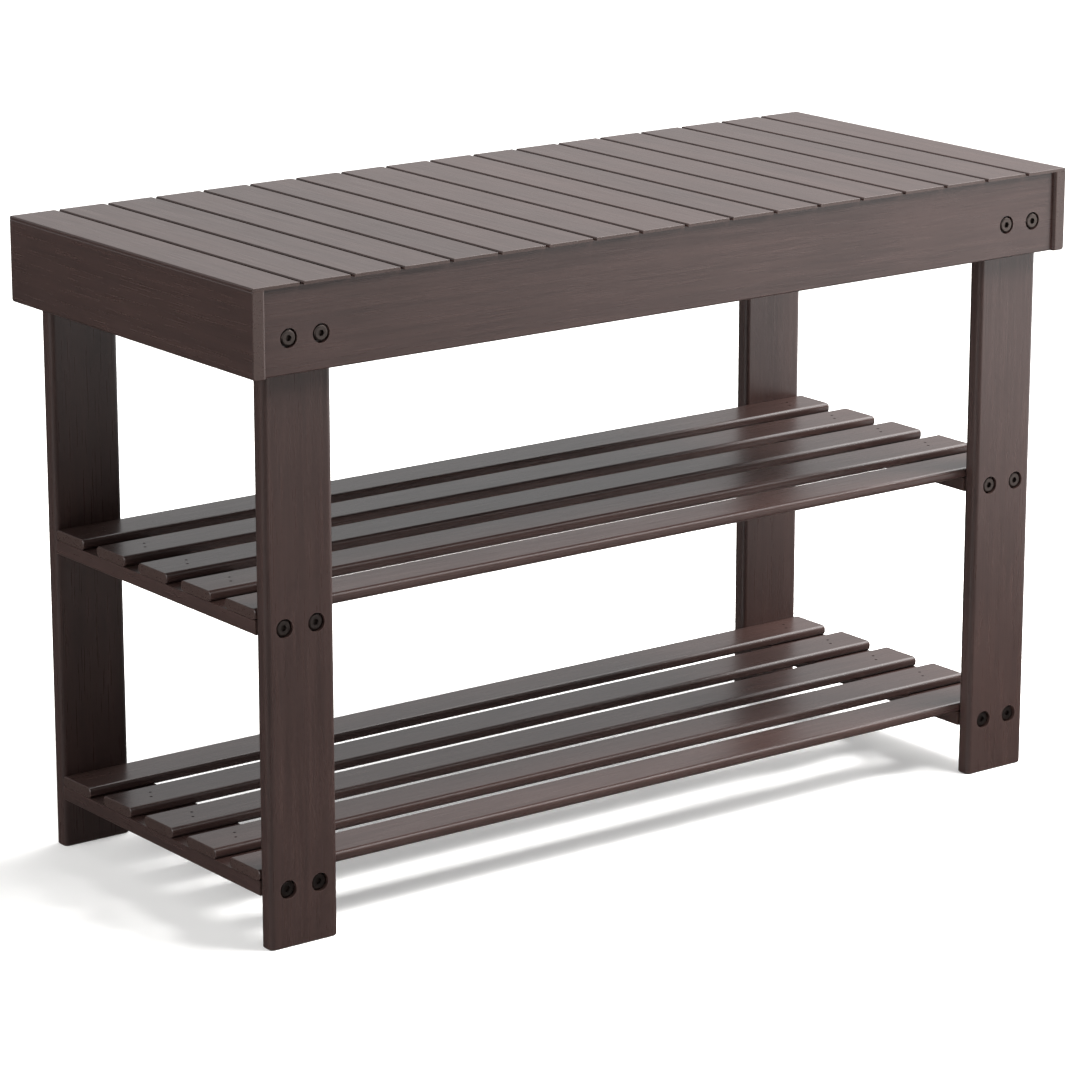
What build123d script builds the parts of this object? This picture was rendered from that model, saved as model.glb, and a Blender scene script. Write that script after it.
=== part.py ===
from build123d import *
import os

# Slatted entryway bench with two open shoe shelves, in millimetres.
# X runs along the bench, Y from front (negative) to back, Z up from the floor.
# The origin is on the floor, under the middle of the bench.

bench_length = 700.0
bench_depth = 300.0
bench_height = 450.0

# Seat: slats that drop between the aprons, with a thin lip that laps over them.
# The lip hangs over the long aprons, and is flush with the ends of the end aprons.
seat_slat_count = 18
slat_width = 36.0
slat_thickness = 6.0
lip_thickness = 2.2
lip_overhang = 2.8
lip_inset = 0.3
slat_edge_round = 0.9
slat_end_arris = 0.2
seat_box_height = 60.0
apron_thickness = 10.0
apron_edge_round = 1.2
end_apron_top_round = 0.8
end_apron_bottom_round = 2.5
end_apron_step_round = 2.0
end_apron_corner_round = 0.6
batten_width = 40.0
batten_thickness = 12.0

# Legs: flat boards that stand inside the long aprons.
leg_width = 54.0
leg_thickness = 12.5
leg_edge_round = 4.0
leg_foot_chamfer = 1.0
leg_inset = 14.5

# Shelves: slats pinned on two cross boards that are screwed between the legs.
shelf_tops = {"upper": 232.0, "lower": 53.0}
shelf_slat_count = 5
shelf_slat_thickness = 7.5
shelf_slat_round = 3.0
shelf_slat_arris = 0.4
board_thickness = 10.0
board_edge_round = 0.8

# Bolts and screws share one head: a low round head with a hex socket.
# Each head sits in a bore, flush with the apron or a little below the face of the leg.
head_radius = 5.3
head_height = 3.0
head_round = 1.1
head_clearance = 1.2
socket_width = 4.0
socket_depth = 2.2
bolt_radius = 3.0
bolt_clearance = 0.2
bolt_spacing = 25.0
bolt_above_apron_edge = 24.0
tip_chamfer = 0.6
screw_radius = 2.5
screw_grip = 38.0
head_sink = {"apron": 0.0, "upper": 0.9, "lower": 1.6}
insert_radius = 4.5
insert_length = 9.0
insert_rim = 0.5
bolt_in_insert = 8.5

# Dowels, brads and pins.
dowel_radius = 2.5
dowel_length = 24.0
dowel_in_end_apron = 6.0
dowel_heights = (10.0, 42.0)
brad_radius = 0.7
brad_head_radius = 1.1
brad_head_height = 0.8
brad_length = 13.0
brad_sink = 0.3
brad_offsets = ((-2.0, -4.5), (2.5, 4.0))
pin_radius = 0.8
pin_in_slat = 4.0

# Places worked out from the driving dimensions.
half_length = bench_length / 2
half_depth = bench_depth / 2
seat_row_length = bench_length - 2 * lip_inset
slat_gap = (seat_row_length - seat_slat_count * slat_width) / (seat_slat_count - 1)
slat_pitch = slat_width + slat_gap
slat_underside = bench_height - slat_thickness
lip_underside = bench_height - lip_thickness
seat_bottom = bench_height - seat_box_height
apron_height = seat_box_height - lip_thickness
apron_face_y = half_depth - lip_overhang
inner_half_length = half_length - apron_thickness
inner_half_depth = apron_face_y - apron_thickness
leg_face_y = inner_half_depth
leg_y = leg_face_y - leg_thickness / 2
leg_x = half_length - leg_inset - leg_width / 2
board_half_length = leg_face_y - leg_thickness
shelf_length = 2 * (half_length - leg_inset)
shelf_gap = (2 * board_half_length - shelf_slat_count * slat_width) / (shelf_slat_count - 1)
shelf_pitch = slat_width + shelf_gap
bolt_z = seat_bottom + bolt_above_apron_edge
batten_bottom = slat_underside - batten_thickness
bore_radius = head_radius + head_clearance

seat_slat_xs = [(i - (seat_slat_count - 1) / 2) * slat_pitch for i in range(seat_slat_count)]
shelf_slat_ys = [(i - (shelf_slat_count - 1) / 2) * shelf_pitch for i in range(shelf_slat_count)]
sides = {"left": -1, "right": 1}
faces = {"front": -1, "rear": 1}
corners = [(side, face) for side in sides.values() for face in faces.values()]


def board_z(shelf):
    return shelf_tops[shelf] - shelf_slat_thickness - board_thickness / 2


def outward(x, y, z, face):
    # A plane on a front or rear surface, facing away from the bench.
    return Plane(origin=(x, y, z), x_dir=(1, 0, 0), z_dir=(0, face, 0))


def dowel_plane(side, face, height, facing):
    # A plane on the joint between a long apron and an end apron, facing along X.
    y = face * (apron_face_y - apron_thickness / 2)
    origin = (side * inner_half_length, y, seat_bottom + height)
    return Plane(origin=origin, z_dir=(facing, 0, 0))


def pair_xs(side):
    middle = side * leg_x
    return (middle - bolt_spacing / 2, middle + bolt_spacing / 2)


def save(piece, name):
    piece.label = name
    export_step(piece, f"parts/{name}.step")


def make_seat_slat(x):
    left = max(x - slat_width / 2, -inner_half_length)
    right = min(x + slat_width / 2, inner_half_length)
    with BuildPart() as slat:
        with BuildSketch(Plane.XY.offset(slat_underside)):
            with Locations(((left + right) / 2, 0)):
                Rectangle(right - left, 2 * inner_half_depth)
        extrude(amount=slat_thickness - lip_thickness)
        with BuildSketch(Plane.XY.offset(lip_underside)):
            with Locations((x, 0)):
                Rectangle(slat_width, bench_depth)
        extrude(amount=lip_thickness)
        long_edges = slat.edges().filter_by(Axis.Y).group_by(Axis.Z)[-1]
        fillet(long_edges, slat_edge_round)
        end_edges = slat.edges().filter_by(Axis.X).group_by(Axis.Z)[-1]
        chamfer(end_edges, slat_end_arris)
        with Locations(Plane(origin=(x, 0, slat_underside), z_dir=(0, 0, -1))):
            Hole(pin_radius, depth=pin_in_slat)
    return slat.part


def make_long_apron(face):
    with BuildPart() as apron:
        with BuildSketch(Plane.XY.offset(seat_bottom)):
            with Locations((0, face * (apron_face_y - apron_thickness / 2))):
                Rectangle(2 * inner_half_length, apron_thickness)
        extrude(amount=apron_height)
        fillet(apron.edges().filter_by(Axis.X).group_by(Axis.Z)[0], apron_edge_round)
        for side in sides.values():
            for x in pair_xs(side):
                with Locations(outward(x, face * apron_face_y, bolt_z, face)):
                    bore_depth = head_height + head_sink["apron"]
                    CounterBoreHole(bolt_radius + bolt_clearance, bore_radius, bore_depth)
            for height in dowel_heights:
                with Locations(dowel_plane(side, face, height, side)):
                    Hole(dowel_radius, depth=dowel_length - dowel_in_end_apron)
    return apron.part


def make_end_apron(side):
    with BuildPart() as apron:
        with BuildSketch(Plane.XY.offset(seat_bottom)):
            with Locations((side * (half_length - apron_thickness / 2), 0)):
                Rectangle(apron_thickness, bench_depth)
        extrude(amount=apron_height)
        step_corners = apron.edges().filter_by(Axis.Z).group_by(Axis.X)[0 if side > 0 else -1]
        fillet(step_corners, end_apron_step_round)
        outer_face = apron.faces().sort_by(Axis.X)[-1 if side > 0 else 0]
        bottom_edge, top_edge = outer_face.edges().filter_by(Axis.Y).sort_by(Axis.Z)
        fillet(bottom_edge, end_apron_bottom_round)
        fillet(top_edge, end_apron_top_round)
        outer_corners = apron.edges().filter_by(Axis.Z).group_by(Axis.X)[-1 if side > 0 else 0]
        fillet(outer_corners, end_apron_corner_round)
        for face in faces.values():
            for height in dowel_heights:
                with Locations(dowel_plane(side, face, height, -side)):
                    Hole(dowel_radius, depth=dowel_in_end_apron)
    return apron.part


def make_batten():
    # A batten under the middle of the slats, from one end apron to the other.
    with BuildPart() as batten:
        with BuildSketch(Plane.XY.offset(batten_bottom)):
            Rectangle(2 * inner_half_length, batten_width)
        extrude(amount=batten_thickness)
        with Locations([(x, 0, slat_underside) for x in seat_slat_xs]):
            Hole(pin_radius, depth=batten_thickness)
    return batten.part


def make_leg(side, face):
    face_y = face * leg_face_y
    with BuildPart() as leg:
        with BuildSketch():
            with Locations((side * leg_x, face * leg_y)):
                RectangleRounded(leg_width, leg_thickness, leg_edge_round)
        extrude(amount=slat_underside)
        chamfer(leg.faces().sort_by(Axis.Z)[0].edges(), leg_foot_chamfer)
        for x in pair_xs(side):
            with Locations(outward(x, face_y, bolt_z, face)):
                Hole(insert_radius, depth=insert_length)
            for shelf in shelf_tops:
                with Locations(outward(x, face_y, board_z(shelf), face)):
                    bore_depth = head_height + head_sink[shelf]
                    CounterBoreHole(screw_radius, bore_radius, bore_depth)
    return leg.part


def make_cross_board(side, shelf):
    top = shelf_tops[shelf] - shelf_slat_thickness
    with BuildPart() as board:
        with BuildSketch(Plane.XY.offset(top - board_thickness)):
            with Locations((side * leg_x, 0)):
                Rectangle(leg_width, 2 * board_half_length)
        extrude(amount=board_thickness)
        fillet(board.edges().filter_by(Axis.Y).group_by(Axis.Z)[0], board_edge_round)
        for face in faces.values():
            for x in pair_xs(side):
                with Locations(outward(x, face * board_half_length, board_z(shelf), face)):
                    Hole(screw_radius, depth=screw_grip)
        with Locations([(x, y, top) for x, y in brad_places(side)]):
            Hole(brad_radius, depth=brad_length + brad_sink - shelf_slat_thickness)
    return board.part


def brad_places(side):
    # Two brads through each shelf slat, a little out of line with each other.
    return [(side * leg_x + dx, y + dy) for y in shelf_slat_ys for dx, dy in brad_offsets]


def make_shelf_slat(y, shelf):
    top = shelf_tops[shelf]
    with BuildPart() as slat:
        with BuildSketch(Plane.YZ.offset(-shelf_length / 2)):
            with Locations((y, top - shelf_slat_thickness / 2)):
                RectangleRounded(slat_width, shelf_slat_thickness, shelf_slat_round)
        extrude(amount=shelf_length)
        chamfer(slat.faces().filter_by(Axis.X).edges(), shelf_slat_arris)
        for side in sides.values():
            for dx, dy in brad_offsets:
                with Locations((side * leg_x + dx, y + dy, top)):
                    head_depth = brad_head_height + brad_sink
                    CounterBoreHole(brad_radius, brad_head_radius, head_depth)
    return slat.part


def make_bolt(shank_radius, shank_length):
    # Head face at Z = 0, shank pointing down.
    with BuildPart() as bolt:
        with BuildSketch(Plane.XY.offset(-head_height)):
            Circle(head_radius)
        extrude(amount=head_height)
        fillet(bolt.edges().group_by(Axis.Z)[-1], head_round)
        with BuildSketch():
            RegularPolygon(socket_width / 2, 6, major_radius=False)
        extrude(amount=-socket_depth, mode=Mode.SUBTRACT)
        with BuildSketch(Plane.XY.offset(-head_height)):
            Circle(shank_radius)
        extrude(amount=-shank_length)
        chamfer(bolt.edges().group_by(Axis.Z)[0], tip_chamfer)
    return bolt.part


def make_insert():
    # Threaded insert for a leg: its mouth at Z = 0, pointing down.
    with BuildPart() as insert:
        with BuildSketch():
            Circle(insert_radius)
            Circle(bolt_radius, mode=Mode.SUBTRACT)
        extrude(amount=-insert_length)
        chamfer(insert.edges().group_by(Axis.Z)[0].sort_by(SortBy.RADIUS)[-1], insert_rim)
    return insert.part


def make_brad():
    with BuildPart() as brad:
        with BuildSketch():
            Circle(brad_head_radius)
        extrude(amount=-brad_head_height)
        with BuildSketch():
            Circle(brad_radius)
        extrude(amount=-brad_length)
    return brad.part


def place(piece, planes):
    # One node of identical pieces, a copy of the piece on each plane.
    with BuildPart() as group:
        for plane in planes:
            add(piece.moved(plane.location))
    return group.part


def build_seat():
    for number, x in enumerate(seat_slat_xs, start=1):
        save(make_seat_slat(x), f"seat_slat_{number:02d}")
    for name, face in faces.items():
        save(make_long_apron(face), f"{name}_apron")
    for name, side in sides.items():
        save(make_end_apron(side), f"{name}_end_apron")
    save(make_batten(), "seat_batten")


def build_legs():
    for face_name, face in faces.items():
        for side_name, side in sides.items():
            save(make_leg(side, face), f"{face_name}_{side_name}_leg")


def build_shelf(shelf):
    for name, side in sides.items():
        save(make_cross_board(side, shelf), f"{shelf}_{name}_cross_board")
    for number, y in enumerate(shelf_slat_ys, start=1):
        save(make_shelf_slat(y, shelf), f"{shelf}_shelf_slat_{number}")
    sink = head_sink[shelf]
    shank = leg_thickness - (head_height + sink) + screw_grip
    screw_planes = [
        outward(x, face * (leg_face_y - sink), board_z(shelf), face)
        for side, face in corners
        for x in pair_xs(side)
    ]
    save(place(make_bolt(screw_radius, shank), screw_planes), f"{shelf}_shelf_screws")
    brad_planes = [
        Plane(origin=(x, y, shelf_tops[shelf] - brad_sink))
        for side in sides.values()
        for x, y in brad_places(side)
    ]
    save(place(make_brad(), brad_planes), f"{shelf}_shelf_brads")


def build_fasteners():
    shank = apron_thickness - (head_height + head_sink["apron"]) + bolt_in_insert
    head_y = apron_face_y - head_sink["apron"]
    bolt_planes = []
    insert_planes = []
    for side, face in corners:
        for x in pair_xs(side):
            bolt_planes.append(outward(x, face * head_y, bolt_z, face))
            insert_planes.append(outward(x, face * leg_face_y, bolt_z, face))
    save(place(make_bolt(bolt_radius, shank), bolt_planes), "apron_bolts")
    save(place(make_insert(), insert_planes), "leg_inserts")

    with BuildPart() as dowels:
        for side, face in corners:
            for height in dowel_heights:
                start = dowel_plane(side, face, height, side).offset(dowel_in_end_apron)
                with BuildSketch(start):
                    Circle(dowel_radius)
                extrude(amount=-dowel_length)
    save(dowels.part, "corner_dowels")

    with BuildPart() as pins:
        with BuildSketch(Plane.XY.offset(batten_bottom)):
            with Locations([(x, 0) for x in seat_slat_xs]):
                Circle(pin_radius)
        extrude(amount=batten_thickness + pin_in_slat)
    save(pins.part, "batten_pins")


os.makedirs("parts", exist_ok=True)
build_seat()
build_legs()
for shelf_name in shelf_tops:
    build_shelf(shelf_name)
build_fasteners()
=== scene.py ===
import math

import bmesh
import bpy
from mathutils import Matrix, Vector


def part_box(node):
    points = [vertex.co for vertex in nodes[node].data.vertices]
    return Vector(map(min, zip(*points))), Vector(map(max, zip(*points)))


# Slatted entryway bench in stained bamboo, with two open shoe shelves.
# Metres, X along the bench, front towards negative Y, Z up from the floor.

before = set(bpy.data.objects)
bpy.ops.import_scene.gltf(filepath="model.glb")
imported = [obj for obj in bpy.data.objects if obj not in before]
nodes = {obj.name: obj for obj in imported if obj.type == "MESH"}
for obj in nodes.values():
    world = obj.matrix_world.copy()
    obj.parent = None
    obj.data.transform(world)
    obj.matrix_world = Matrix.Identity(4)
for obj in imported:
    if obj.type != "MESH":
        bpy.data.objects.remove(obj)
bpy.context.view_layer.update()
print("frame loaded:", len(nodes), "nodes")

mm = 0.001


def linear(hexColour):
    # an sRGB hex colour as the linear colour that shaders take
    channels = [int(hexColour[i:i + 2], 16) / 255 for i in (1, 3, 5)]
    return tuple(c / 12.92 if c <= 0.04045 else ((c + 0.055) / 1.055) ** 2.4 for c in channels)


def opaque(hexColour):
    return (*linear(hexColour), 1.0)


def addNode(tree, kind, inputs=None, **settings):
    # one node, with its settings, and its sockets set to values or linked to other sockets
    node = tree.nodes.new(kind)
    for name, value in settings.items():
        setattr(node, name, value)
    for socket, value in (inputs or {}).items():
        if isinstance(value, bpy.types.NodeSocket):
            tree.links.new(value, node.inputs[socket])
        else:
            node.inputs[socket].default_value = value
    return node


def newMaterial(name):
    material = bpy.data.materials.new(name)
    material.use_nodes = True
    material.node_tree.nodes.clear()
    return material, material.node_tree


def paint(material, *names):
    # gives the named nodes that material, in every slot they have
    for name in names:
        for slot in nodes[name].material_slots:
            slot.material = material


bamboo = {
    "stain": "#332522",            # espresso stain on the plain face of a strip
    "stainDeep": "#251a18",        # where the fibre bundles take more of it
    "stainRubbed": "#463835",      # thin stain over an arris
    "endGrain": "#2a1f1c",         # cut ends take a little more stain
    "ior": 1.5,                    # acrylic lacquer
    "roughness": 0.30,             # satin
    "roughnessSpread": 0.08,
    "fibre": (45 * mm, 1.1 * mm),  # real bundles are 0.4 mm wide: drawn coarser, to show
    "fibreTone": 0.22,
    "band": (260 * mm, 6.5 * mm),
    "bandTone": 0.20,
    "dash": (11 * mm, 0.9 * mm),   # real open vessels are 0.2 mm wide: drawn coarser, to show
    "dashTone": 0.14,
    "cloud": 70 * mm,
    "cloudTone": 0.10,
    "boardTone": 0.20,             # one board against the next
    "strip": 18 * mm,              # strips glued side by side into a board
    "stripTone": 0.06,
    "knuckleSpacing": 230 * mm,    # growth rings of the culm
    "knuckleWidth": 3 * mm,
    "knuckleTone": 0.10,
    "bundlePitch": 1.3 * mm,       # dots on a cut end
    "relief": 0.035 * mm,
    "arris": 1.2 * mm,
    "arrisWear": 0.35,
}


def stainedBamboo(name, along, across, cell=(20.0, 20.0, 20.0), cellStart=(-10.0, -10.0, -10.0)):
    # dark brown strips with fine lengthwise fibres and a satin lacquer; one cell holds one board
    material, tree = newMaterial(name)
    place = addNode(tree, "ShaderNodeTexCoord").outputs["Object"]

    def maths(operation, a, b=0.0, **settings):
        return addNode(tree, "ShaderNodeMath", {0: a, 1: b}, operation=operation, **settings).outputs[0]

    def vectorMaths(operation, a, b):
        key = "Scale" if operation == "SCALE" else 1
        return addNode(tree, "ShaderNodeVectorMath", {0: a, key: b}, operation=operation).outputs[0]

    def ramp(value, low, high, start, end):
        return addNode(tree, "ShaderNodeMapRange", {
            "Value": value, "From Min": low, "From Max": high, "To Min": start, "To Max": end}).outputs[0]

    def blend(amount, a, b):
        return addNode(tree, "ShaderNodeMix", {0: amount, 6: a, 7: b}, data_type="RGBA").outputs[2]

    # every board has a number of its own, from where it stands, which shifts its grain
    boardCell = vectorMaths("DIVIDE", vectorMaths("SUBTRACT", place, cellStart), cell)
    boardCell = vectorMaths("FLOOR", boardCell, (0, 0, 0))
    board = addNode(tree, "ShaderNodeTexWhiteNoise", {"Vector": boardCell}, noise_dimensions="3D")
    third = next(a for a in "XYZ" if a not in (along, across))
    split = addNode(tree, "ShaderNodeSeparateXYZ", {0: place}).outputs
    grain = addNode(tree, "ShaderNodeCombineXYZ", {0: split[along], 1: split[across], 2: split[third]})
    grain = vectorMaths("ADD", grain.outputs[0], vectorMaths("SCALE", board.outputs["Color"], 3.7))

    def streaks(size, detail, roughness):
        scaled = vectorMaths("DIVIDE", grain, (size[0], size[1], size[1]))
        return addNode(tree, "ShaderNodeTexNoise", {
            "Vector": scaled, "Scale": 1.0, "Detail": detail, "Roughness": roughness}).outputs["Fac"]

    fibres = streaks(bamboo["fibre"], 3.0, 0.6)
    bands = streaks(bamboo["band"], 3.0, 0.55)
    dashes = ramp(streaks(bamboo["dash"], 1.0, 0.5), 0.6, 0.72, 0.0, 1.0)
    clouds = streaks((bamboo["cloud"], bamboo["cloud"]), 2.0, 0.5)

    # each strip has its own tone and its own growth rings
    grainSplit = addNode(tree, "ShaderNodeSeparateXYZ", {0: grain}).outputs
    stripCell = maths("FLOOR", maths("DIVIDE", grainSplit["Y"], bamboo["strip"]))
    strip = addNode(tree, "ShaderNodeTexWhiteNoise", {"W": stripCell}, noise_dimensions="1D").outputs["Value"]
    ringAt = maths("ADD", maths("DIVIDE", grainSplit["X"], bamboo["knuckleSpacing"]), strip)
    ringAt = maths("ABSOLUTE", maths("SUBTRACT", maths("FLOORED_MODULO", ringAt, 1.0), 0.5))
    knuckle = ramp(ringAt, 0.0, bamboo["knuckleWidth"] / bamboo["knuckleSpacing"], 1.0, 0.0)

    # tone: 0 is the deepest stain, 1 the lightest
    tone = 0.5
    for source, key in ((fibres, "fibreTone"), (bands, "bandTone"), (clouds, "cloudTone")):
        tone = maths("ADD", tone, ramp(source, 0.3, 0.7, -bamboo[key], bamboo[key]))
    for source, key in ((board.outputs["Value"], "boardTone"), (strip, "stripTone")):
        tone = maths("ADD", tone, ramp(source, 0.0, 1.0, -bamboo[key], bamboo[key]))
    for source, key in ((dashes, "dashTone"), (knuckle, "knuckleTone")):
        tone = maths("SUBTRACT", tone, maths("MULTIPLY", source, bamboo[key]), use_clamp=True)
    colour = blend(tone, opaque(bamboo["stainDeep"]), opaque(bamboo["stain"]))

    # cut ends: dots of the fibre bundles
    facing = addNode(tree, "ShaderNodeNewGeometry").outputs
    endness = addNode(tree, "ShaderNodeSeparateXYZ", {0: facing["True Normal"]}).outputs[along]
    endMask = ramp(maths("ABSOLUTE", endness), 0.6, 0.85, 0.0, 1.0)
    bundles = addNode(tree, "ShaderNodeTexVoronoi", {"Vector": grain, "Scale": 1 / bamboo["bundlePitch"]})
    endShade = ramp(bundles.outputs["Distance"], 0.1, 0.5, 0.8, 1.2)
    colour = blend(endMask, colour, vectorMaths("SCALE", linear(bamboo["endGrain"]), endShade))

    # arrises: rubbed a little thin
    rounded = addNode(tree, "ShaderNodeBevel", {"Radius": bamboo["arris"]}, samples=4).outputs[0]
    sameness = addNode(tree, "ShaderNodeVectorMath", {
        0: rounded, 1: facing["Normal"]}, operation="DOT_PRODUCT").outputs["Value"]
    wear = maths("MULTIPLY", ramp(sameness, 0.995, 0.9, 0.0, bamboo["arrisWear"]), fibres)
    colour = blend(wear, colour, opaque(bamboo["stainRubbed"]))

    spread = bamboo["roughnessSpread"] / 2
    rough = ramp(fibres, 0.3, 0.7, bamboo["roughness"] + spread, bamboo["roughness"] - spread)
    height = maths("SUBTRACT", fibres, maths("MULTIPLY", dashes, 0.3))
    relief = addNode(tree, "ShaderNodeBump", {
        "Height": height, "Strength": 1.0, "Distance": bamboo["relief"]})
    shader = addNode(tree, "ShaderNodeBsdfPrincipled", {
        "Base Color": colour, "Roughness": rough, "IOR": bamboo["ior"], "Normal": relief.outputs[0]})
    addNode(tree, "ShaderNodeOutputMaterial", {"Surface": shader.outputs[0]})
    return material


def numbered(pattern, count):
    return [pattern % i for i in range(1, count + 1)]


seatSlats = numbered("seat_slat_%02d", 18)
shelfSlats = numbered("upper_shelf_slat_%d", 5) + numbered("lower_shelf_slat_%d", 5)
crossBoards = [s + "_cross_board" for s in ("upper_left", "upper_right", "lower_left", "lower_right")]
legs = [c + "_leg" for c in ("front_left", "front_right", "rear_left", "rear_right")]

boards = {
    "seatMargin": 1 * mm,          # how far a board's cell starts before the board
    "shelfMargin": 9 * mm,
}
wide = 20.0                        # a cell wider than the bench, where boards aren't told apart
wideStart = -wide / 2

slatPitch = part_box("seat_slat_02")[0].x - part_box("seat_slat_01")[0].x
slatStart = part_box("seat_slat_01")[0].x - boards["seatMargin"]
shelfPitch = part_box("upper_shelf_slat_2")[0].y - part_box("upper_shelf_slat_1")[0].y
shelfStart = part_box("upper_shelf_slat_1")[0].y - boards["shelfMargin"]
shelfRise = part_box("upper_shelf_slat_1")[0].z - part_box("lower_shelf_slat_1")[0].z

seatCell, seatCellStart = (slatPitch, wide, wide), (slatStart, wideStart, wideStart)
shelfCell, shelfCellStart = (wide, shelfPitch, shelfRise), (wideStart, shelfStart, 0)
crossCell, crossCellStart = (wide, wide, shelfRise), (0, wideStart, 0)

paint(stainedBamboo("stainedBambooSeatSlats", "Y", "X", seatCell, seatCellStart), *seatSlats)
paint(stainedBamboo("stainedBambooShelfSlats", "X", "Y", shelfCell, shelfCellStart), *shelfSlats)
paint(stainedBamboo("stainedBambooLongAprons", "X", "Z", cellStart=(wideStart, 0, wideStart)),
      "front_apron", "rear_apron")
paint(stainedBamboo("stainedBambooEndAprons", "Y", "Z", cellStart=(0, wideStart, wideStart)),
      "left_end_apron", "right_end_apron")
paint(stainedBamboo("stainedBambooLegs", "Z", "X", cellStart=(0, 0, wideStart)), *legs)
paint(stainedBamboo("stainedBambooCrossBoards", "Y", "X", crossCell, crossCellStart), *crossBoards)
paint(stainedBamboo("stainedBambooBatten", "X", "Y"), "seat_batten")
print("bamboo painted")


fasteners = {
    "blackOxideSteel": {           # dark grey-brown heads with a dull oily sheen
        "colour": "#665d59", "roughness": 0.45, "metallic": 1.0, "pit": 0.4 * mm,
        "on": ("apron_bolts", "upper_shelf_screws", "lower_shelf_screws")},
    "zincPlatedSteel": {           # pale grey, faintly blotched
        "colour": "#b5b3ae", "roughness": 0.3, "metallic": 1.0, "pit": 0.8 * mm,
        "on": ("leg_inserts",)},
    "blackenedSteel": {            # almost black pin heads
        "colour": "#1c1715", "roughness": 0.5, "metallic": 0.6, "pit": 0.4 * mm,
        "on": ("upper_shelf_brads", "lower_shelf_brads", "batten_pins")},
    "bareBeech": {                 # straw-coloured turned pegs, fine flecks
        "colour": "#c9a877", "roughness": 0.6, "metallic": 0.0, "pit": 1.5 * mm,
        "on": ("corner_dowels",)},
}


def fastenerFinish(name, finish):
    material, tree = newMaterial(name)
    place = addNode(tree, "ShaderNodeTexCoord").outputs["Object"]
    spots = addNode(tree, "ShaderNodeTexNoise", {
        "Vector": place, "Scale": 1 / finish["pit"], "Detail": 2.0}).outputs["Fac"]
    rough = addNode(tree, "ShaderNodeMapRange", {
        "Value": spots, "From Min": 0.3, "From Max": 0.7,
        "To Min": finish["roughness"] - 0.05, "To Max": finish["roughness"] + 0.08})
    tone = addNode(tree, "ShaderNodeMapRange", {
        "Value": spots, "From Min": 0.3, "From Max": 0.7, "To Min": 0.88, "To Max": 1.12})
    shade = addNode(tree, "ShaderNodeVectorMath", {
        0: linear(finish["colour"]), "Scale": tone.outputs[0]}, operation="SCALE")
    relief = addNode(tree, "ShaderNodeBump", {"Height": spots, "Strength": 0.3, "Distance": 0.02 * mm})
    shader = addNode(tree, "ShaderNodeBsdfPrincipled", {
        "Base Color": shade.outputs[0], "Roughness": rough.outputs[0],
        "Metallic": finish["metallic"], "Normal": relief.outputs[0]})
    addNode(tree, "ShaderNodeOutputMaterial", {"Surface": shader.outputs[0]})
    return material


for name, finish in fasteners.items():
    paint(fastenerFinish(name, finish), *finish["on"])
print("fasteners painted")


floor = {
    "colour": "#e9e8e6",
    "glow": 0.26,                  # the paper is lit from behind as well
    "centre": (0.2, 1.1),
    "radius": 40.0,
    "sheenHeight": -1 * mm,
    "sheenBase": 0.05,             # painted reflection: brightness that the lacquer mirrors everywhere
    "sheenRight": 2.05,            # and past the right end of the bench
    "sheenRise": (0.4, 1.6),       # where it starts and stops growing, along X
}


def floorDisc(name, height, material):
    disc = bmesh.new()
    bmesh.ops.create_circle(disc, segments=128, radius=floor["radius"], cap_ends=True)
    bmesh.ops.translate(disc, verts=disc.verts, vec=(*floor["centre"], height))
    for face in disc.faces:
        if face.normal.z < 0:
            face.normal_flip()
    mesh = bpy.data.meshes.new(name)
    disc.to_mesh(mesh)
    disc.free()
    mesh.materials.append(material)
    piece = bpy.data.objects.new(name, mesh)
    bpy.context.scene.collection.objects.link(piece)
    return piece


def backdropPaper():
    # matt white paper, very faintly cloudy
    material, tree = newMaterial("backdropPaper")
    place = addNode(tree, "ShaderNodeTexCoord").outputs["Object"]
    haze = addNode(tree, "ShaderNodeTexNoise", {"Vector": place, "Scale": 1.5, "Detail": 2.0})
    tone = addNode(tree, "ShaderNodeMapRange", {"Value": haze.outputs["Fac"], "To Min": 0.98, "To Max": 1.02})
    shade = addNode(tree, "ShaderNodeVectorMath", {
        0: linear(floor["colour"]), "Scale": tone.outputs[0]}, operation="SCALE")
    shader = addNode(tree, "ShaderNodeBsdfPrincipled", {
        "Base Color": shade.outputs[0], "Roughness": 0.8, "Specular IOR Level": 0.2,
        "Emission Color": (1, 1, 1, 1), "Emission Strength": floor["glow"]})
    addNode(tree, "ShaderNodeOutputMaterial", {"Surface": shader.outputs[0]})
    return material


def paintedReflection():
    # painted reflection: a glowing disc that only the lacquer mirrors, dim by the bench, brighter to its
    # right
    material, tree = newMaterial("paintedReflection")
    place = addNode(tree, "ShaderNodeTexCoord").outputs["Object"]
    along = addNode(tree, "ShaderNodeSeparateXYZ", {0: place}).outputs["X"]
    near, far = floor["sheenRise"]
    glow = addNode(tree, "ShaderNodeMapRange", {
        "Value": along, "From Min": near, "From Max": far,
        "To Min": floor["sheenBase"], "To Max": floor["sheenRight"]}, interpolation_type="SMOOTHSTEP")
    shader = addNode(tree, "ShaderNodeEmission", {"Strength": glow.outputs[0]})
    addNode(tree, "ShaderNodeOutputMaterial", {"Surface": shader.outputs[0]})
    return material


paper = floorDisc("floorPaper", 0.0, backdropPaper())
paper.visible_glossy = False
# a glowing disc seen only in reflections, no lamp: painted reflection, brighter to the bench's right
reflectionCard = floorDisc("paintedReflectionDisc", floor["sheenHeight"], paintedReflection())
reflectionCard.visible_camera = False
reflectionCard.visible_diffuse = False
reflectionCard.visible_shadow = False
print("floor laid")


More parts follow.
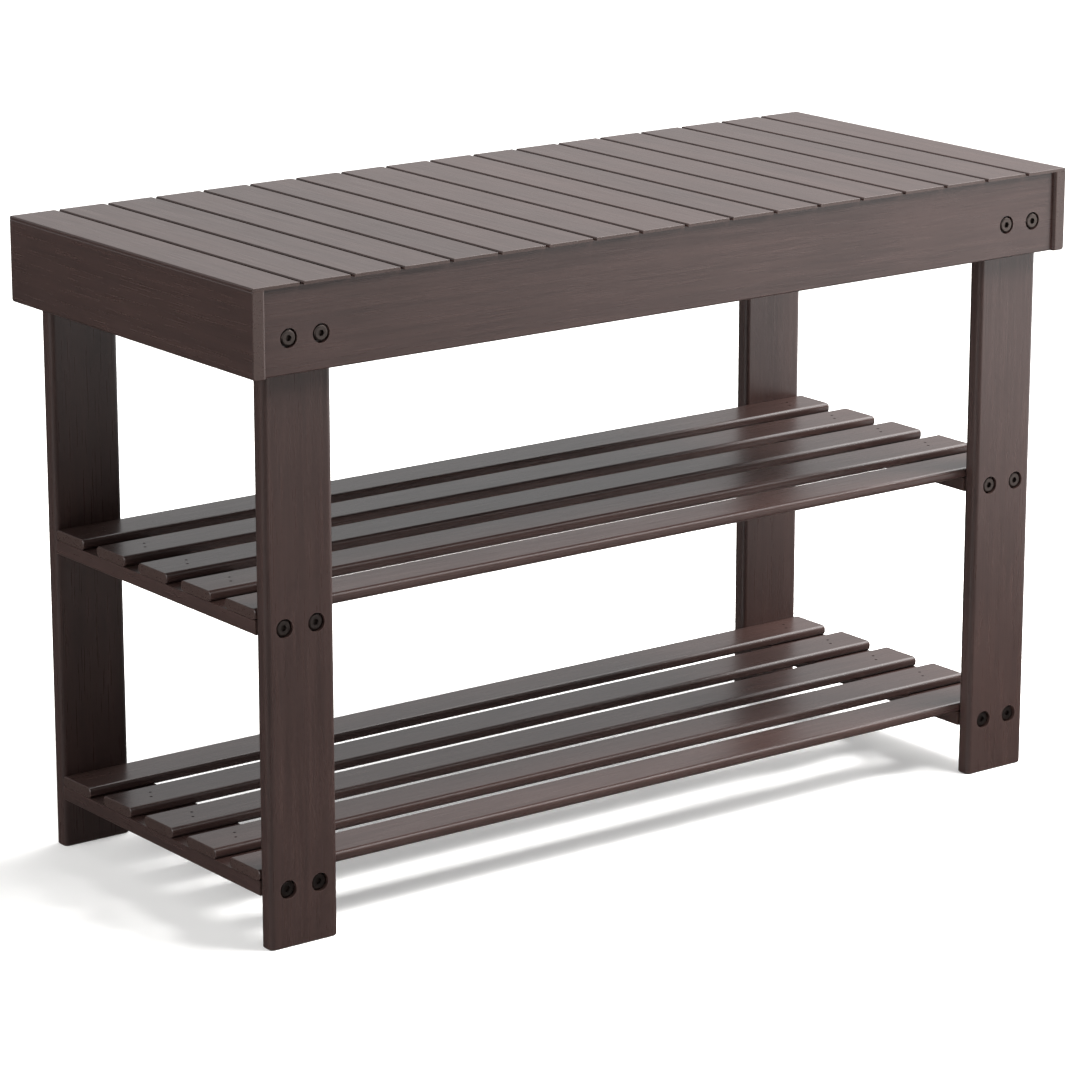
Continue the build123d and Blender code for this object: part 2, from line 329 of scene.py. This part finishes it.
lights = {
    "key": {"at": (0.85, -0.72, 1.9), "aim": (0.0, -0.05, 0.3), "size": (1.3, 0.45), "power": 82},
    "right": {"at": (1.6, -0.8, 1.5), "aim": (0.0, -0.05, 0.3), "size": (0.8, 0.45), "power": 94},
    "low": {"at": (1.7, -1.3, 0.7), "aim": (0.2, -0.1, 0.25), "size": (0.8, 1.0), "power": 4},
}
for name, light in lights.items():
    lampData = bpy.data.lights.new(name + "Softbox", "AREA")
    lampData.shape = "RECTANGLE"
    lampData.size, lampData.size_y = light["size"]
    lampData.energy = light["power"]
    lamp = bpy.data.objects.new(name + "Softbox", lampData)
    lamp.location = light["at"]
    lamp.rotation_euler = (Vector(light["aim"]) - lamp.location).to_track_quat("-Z", "Y").to_euler()
    lamp.visible_camera = False
    lamp.visible_glossy = False    # the lacquer mirrors the room, not the lamps
    bpy.context.scene.collection.objects.link(lamp)

# pale walls as soft patches of light: (brightness, turn from the right, rise, tightness)
room = {
    "seen": "#ffffff",
    "patches": {
        "rearRight": (0.70, 58, 12, 12),
        "rearLeft": (1.4, 130, 12, 14),
        "left": (6.2, 185, 12, 8),
        "right": (8.7, 0, 40, 10),
        "overhead": (1.0, 0, 90, 6),
    },
}


def paleRoom():
    world = bpy.data.worlds.new("paleRoom")
    world.use_nodes = True
    tree = world.node_tree
    tree.nodes.clear()
    direction = addNode(tree, "ShaderNodeTexCoord").outputs["Generated"]
    total = 0.0
    for name, (strength, turn, rise, tightness) in room["patches"].items():
        turn, rise = math.radians(turn), math.radians(rise)
        middle = (math.cos(turn) * math.cos(rise), math.sin(turn) * math.cos(rise), math.sin(rise))
        nearness = addNode(tree, "ShaderNodeVectorMath", {0: direction, 1: middle}, operation="DOT_PRODUCT")
        ahead = addNode(tree, "ShaderNodeMath", {0: nearness.outputs["Value"], 1: 0.0}, operation="MAXIMUM")
        soft = addNode(tree, "ShaderNodeMath", {0: ahead.outputs[0], 1: tightness}, operation="POWER")
        patch = addNode(tree, "ShaderNodeMath", {
            0: soft.outputs[0], 1: strength}, operation="MULTIPLY", label=name)
        total = addNode(tree, "ShaderNodeMath", {0: total, 1: patch.outputs[0]}, operation="ADD").outputs[0]
    lit = addNode(tree, "ShaderNodeBackground", {"Color": (1, 1, 1, 1), "Strength": total})
    seen = addNode(tree, "ShaderNodeBackground", {"Color": opaque(room["seen"])})
    isSeen = addNode(tree, "ShaderNodeLightPath").outputs["Is Camera Ray"]
    both = addNode(tree, "ShaderNodeMixShader", {0: isSeen, 1: lit.outputs[0], 2: seen.outputs[0]})
    addNode(tree, "ShaderNodeOutputWorld", {"Surface": both.outputs[0]})
    return world


bpy.context.scene.world = paleRoom()
bpy.context.scene.view_settings.view_transform = "Standard"
print("lights set")


camera = {
    "lens": 146.8,
    "turn": 36.92,                 # degrees from straight ahead, towards the right end
    "drop": 15.24,                 # degrees below level
    "distance": 3.143,
    "aim": (-0.0112, -0.0003, 0.1986),
}
turn, drop = math.radians(camera["turn"]), math.radians(camera["drop"])
looking = Vector((math.sin(turn) * math.cos(drop), math.cos(turn) * math.cos(drop), -math.sin(drop)))
cameraData = bpy.data.cameras.new("camera")
cameraData.lens = camera["lens"]
cameraData.clip_end = 200
cameraObject = bpy.data.objects.new("camera", cameraData)
cameraObject.location = Vector(camera["aim"]) - looking * camera["distance"]
cameraObject.rotation_euler = looking.to_track_quat("-Z", "Y").to_euler()
bpy.context.scene.collection.objects.link(cameraObject)
bpy.context.scene.camera = cameraObject
print("camera placed")
